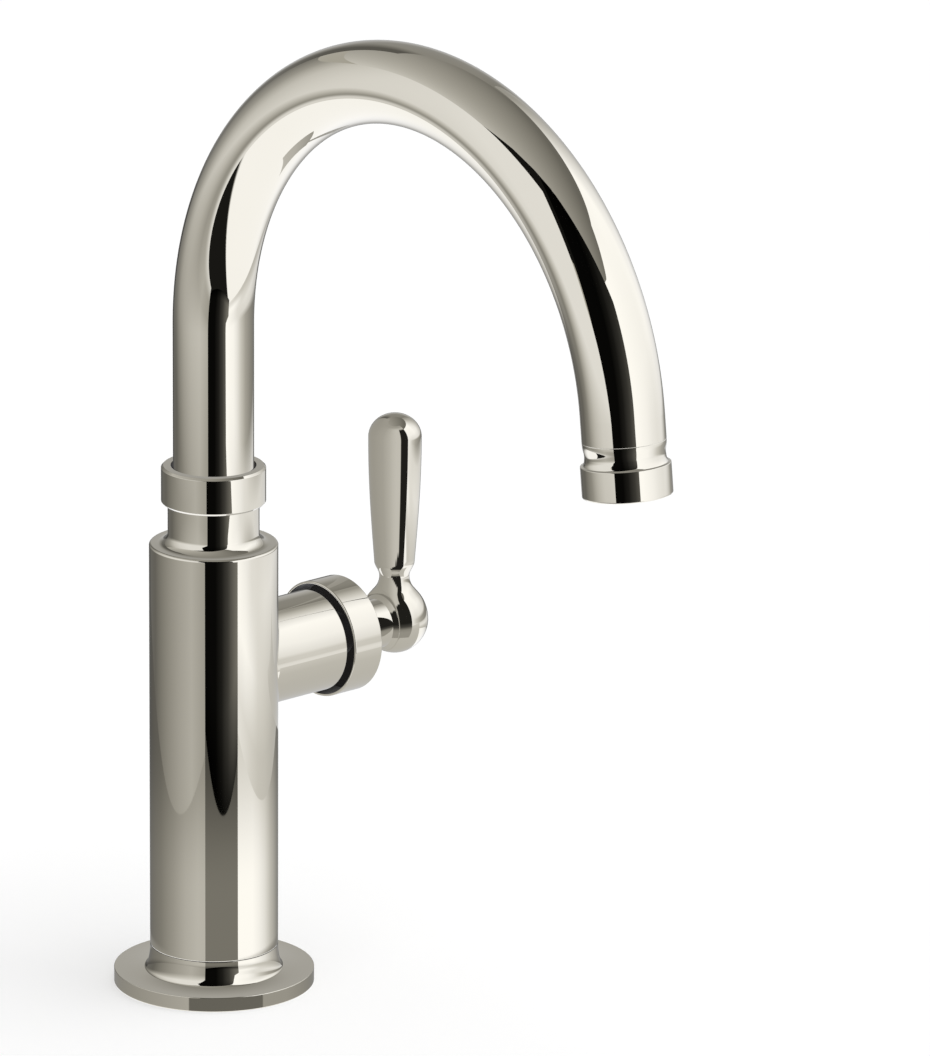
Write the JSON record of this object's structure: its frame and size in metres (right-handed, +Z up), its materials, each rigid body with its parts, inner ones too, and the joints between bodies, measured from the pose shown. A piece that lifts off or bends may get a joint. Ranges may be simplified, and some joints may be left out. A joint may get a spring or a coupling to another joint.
{
  "type": "gooseneck bar faucet",
  "caption": "Deck-mounted bar faucet with a slim upright body, a tall swivelling gooseneck spout with an aerator and a single side lever on a ball, in polished nickel.",
  "frame": {"origin": "the body's axis at the deck's face, where the flange rests", "axes": "+Z up along the body's axis, the spout reaches out along -Y and the side valve along +X"},
  "size_m": [0.1039, 0.2053, 0.3368],
  "materials": {
    "polished_nickel": "polished",
    "brass": "machined",
    "stainless_steel": "machined",
    "black_rubber": "matte",
    "white_plastic": "moulded",
    "grey_plastic": "moulded",
    "ceramic": "lapped"
  },
  "bodies": {
    "body": {"deck_flange": "polished_nickel", "deck_gasket": "black_rubber", "faucet_body": "polished_nickel", "mounting_shank": "brass", "rubber_washer": "black_rubber", "steel_washer": "stainless_steel", "mounting_nut": "brass", "spout_nut": "polished_nickel", "glide_washer": "white_plastic", "upper_bushing": "white_plastic", "lower_bushing": "white_plastic", "cartridge_base": "white_plastic", "port_seals": "black_rubber", "cartridge_housing": "grey_plastic", "fixed_disc": "ceramic", "cartridge_nut": "brass"},
    "spout": {"spout_tube": "polished_nickel", "swivel_post": "brass", "upper_oring": "black_rubber", "lower_oring": "black_rubber", "keeper_ring": "stainless_steel", "outlet_adapter": "polished_nickel", "outlet_housing": "polished_nickel", "aerator_washer": "black_rubber", "aerator_insert": "white_plastic", "inlet_screen": "stainless_steel", "outlet_screen": "stainless_steel"},
    "guide": {"cartridge_guide": "white_plastic", "stem_pin": "stainless_steel"},
    "handle": {"cartridge_stem": "stainless_steel", "handle_cap": "polished_nickel", "handle_hub": "polished_nickel", "set_screw": "stainless_steel", "lever": "polished_nickel"},
    "disc": {"moving_disc": "ceramic", "disc_carrier": "white_plastic"}
  },
  "joints": [
    {"name": "spout_swivel", "type": "hinge", "parent": "body", "child": "spout", "pos_m": [0, 0, 0.13], "axis": [0, 0, 1], "continuous": true},
    {"name": "lever_temperature", "type": "hinge", "parent": "body", "child": "guide", "pos_m": [0.02905, 0, 0.0913], "axis": [1, 0, 0], "range_deg": [-45, 45]},
    {"name": "lever_flow", "type": "hinge", "parent": "guide", "child": "handle", "pos_m": [0.02905, 0, 0.0913], "axis": [0, 1, 0], "range_deg": [0, 20]},
    {"name": "disc_slide", "type": "slide", "parent": "guide", "child": "disc", "axis": [0, 0, 1], "range_m": [0, 0.0028]}
  ],
  "couplings": [
    {"joint": "disc_slide", "follows": "lever_flow", "m_per_rad": 0.008}
  ]
}
